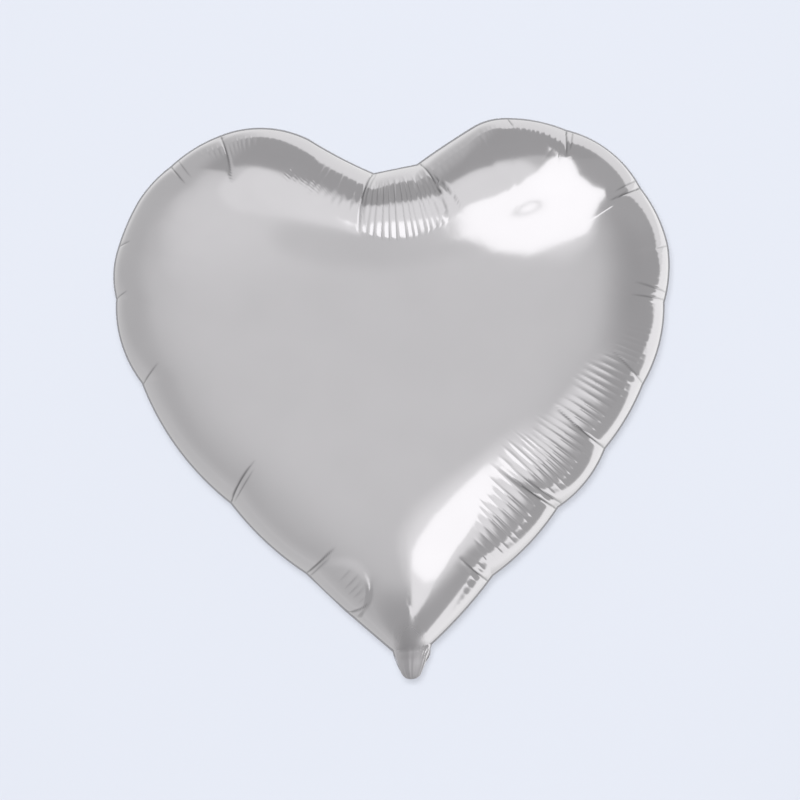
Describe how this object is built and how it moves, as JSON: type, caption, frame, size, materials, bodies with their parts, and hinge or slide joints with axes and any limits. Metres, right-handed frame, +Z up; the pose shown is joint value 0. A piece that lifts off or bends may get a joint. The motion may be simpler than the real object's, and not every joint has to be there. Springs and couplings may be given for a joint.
{
  "type": "heart-shaped foil balloon",
  "caption": "Filled heart-shaped balloon of silver metallised film: front and back panels joined by a welded rim, a short neck, and a flat filling tail with its valve folded up behind.",
  "frame": {"origin": "in the middle of the neck, just below the throat, where a ribbon ties round it", "axes": "+Z up along the heart from its point to its cleft, the front faces -Y, +X to the right as seen from the front"},
  "size_m": [0.3803, 0.1806, 0.3817],
  "materials": {
    "film_front": "bright metallised film",
    "film_back": "bright metallised film",
    "film_weld": "metallised film, crimped by the heat weld",
    "valve_clear": "clear thin film"
  },
  "bodies": {
    "envelope": {"front_panel": "film_front", "back_panel": "film_back", "seam_weld": "film_weld", "neck": "film_front"},
    "tail": {"tail_front_film": "film_front", "tail_back_film": "film_back", "tail_weld_left": "film_weld", "tail_weld_right": "film_weld", "valve_film_front": "valve_clear", "valve_film_back": "valve_clear"}
  },
  "joints": [
    {"name": "tail_fold", "type": "hinge", "parent": "envelope", "child": "tail", "pos_m": [0, 0.0054, -0.0176], "axis": [-1, 0, 0], "range_deg": [0, 132]}
  ]
}
